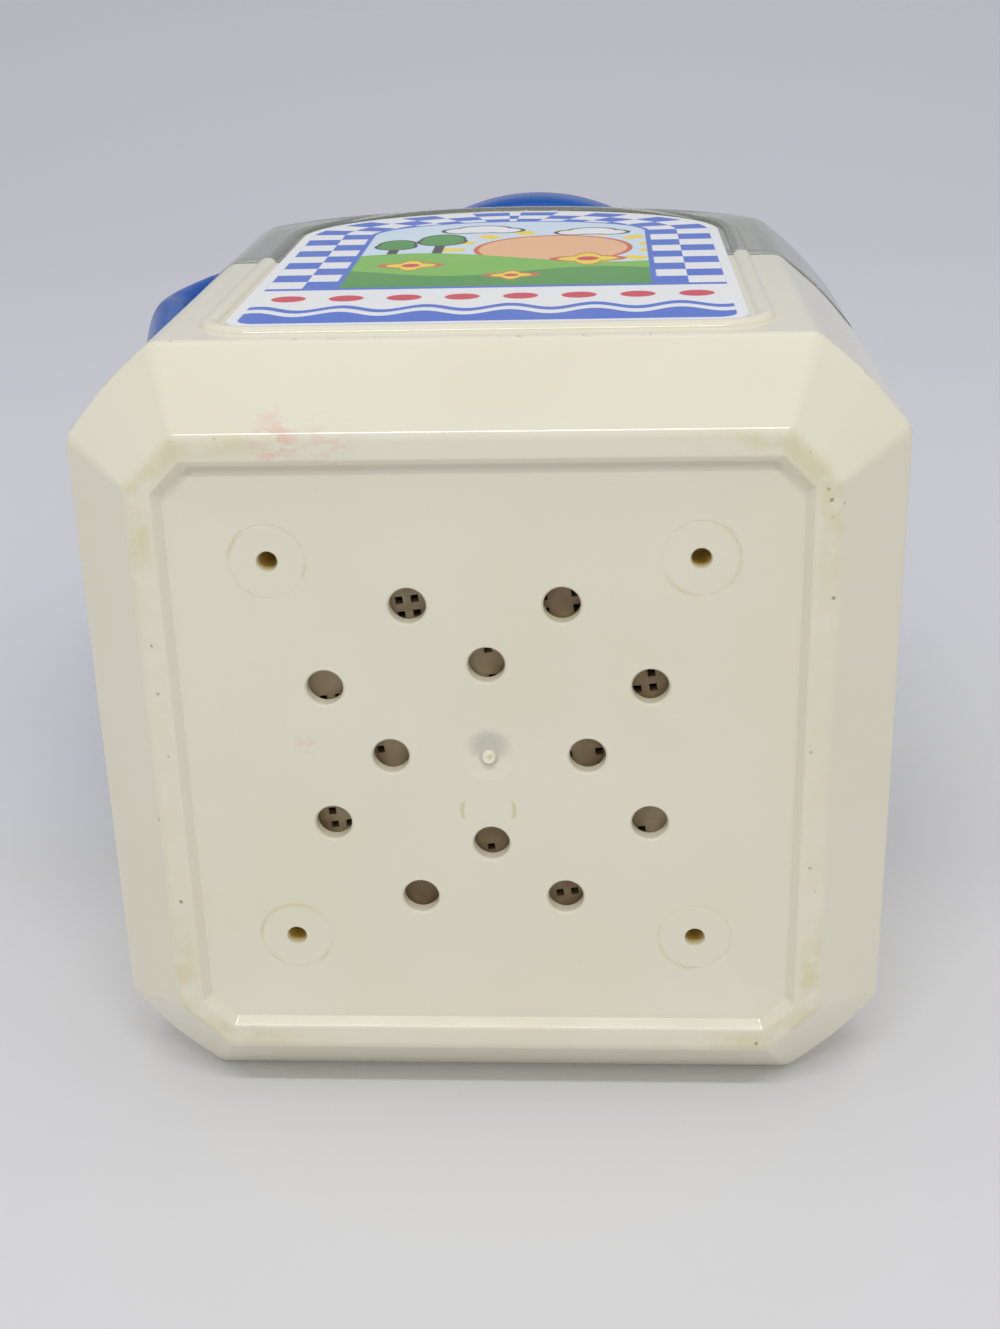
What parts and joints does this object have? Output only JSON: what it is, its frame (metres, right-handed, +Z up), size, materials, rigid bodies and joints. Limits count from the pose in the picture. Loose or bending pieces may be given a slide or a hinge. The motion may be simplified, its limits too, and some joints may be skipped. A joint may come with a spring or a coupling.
{
  "type": "toy milk bottle",
  "caption": "Toy milk bottle with an eight-sided cup, clear shoulder and neck, handled collar, push-in cap, arched label, and a voice box that moos when tipped, behind sound holes.",
  "frame": {"origin": "on the bottle's axis, in the plane of the foot bead that it stands on", "axes": "+Z up the bottle's axis from foot to cap, label towards -Y, handle towards -X"},
  "size_m": [0.143, 0.1088, 0.2282],
  "materials": {
    "cream_plastic": "moulded cream plastic, satin gloss, slightly yellowed",
    "clear_plastic": "clear moulded plastic with a grey-olive tint",
    "blue_plastic": "moulded blue plastic, glossy",
    "label_paper": "printed paper label with a satin varnish",
    "can_plastic": "moulded grey-brown plastic, dull",
    "white_plastic": "moulded white plastic, dull",
    "felt": "pressed felt",
    "foam": "open foam",
    "reed_brass": "rolled brass strip",
    "spring_steel": "bright spring steel",
    "bellows_rubber": "thin moulded rubber",
    "weight_iron": "plain iron disc"
  },
  "bodies": {
    "bottle": {"base_cup": "cream_plastic", "inner_floor": "cream_plastic", "clear_top": "clear_plastic", "front_label": "label_paper", "collar_handle": "blue_plastic", "can_tube": "can_plastic", "can_grille": "can_plastic", "can_lid": "can_plastic", "felt_pad": "felt", "foam_ring": "foam", "sound_plate": "white_plastic", "reed_block": "white_plastic", "reed_clip": "spring_steel", "lower_cuff_ring": "spring_steel", "bellows": "bellows_rubber"},
    "cap": {"cap": "blue_plastic"},
    "weight": {"weight_carrier": "white_plastic", "voice_weight": "weight_iron", "upper_cuff_ring": "spring_steel"},
    "reed": {"reed_tongue": "reed_brass"}
  },
  "joints": [
    {"name": "cap_lift", "type": "slide", "parent": "bottle", "child": "cap", "axis": [0, 0, 1], "range_m": [0, 0.06]},
    {"name": "weight_slide", "type": "slide", "parent": "bottle", "child": "weight", "axis": [0, 0, 1], "range_m": [0, 0.014], "deforming": ["bellows"]},
    {"name": "reed_swing", "type": "hinge", "parent": "bottle", "child": "reed", "pos_m": [-0.00885, 0, 0.00887], "axis": [0, 1, 0], "range_deg": [0, 2.5], "stiffness_Nm_per_rad": 0.005}
  ]
}
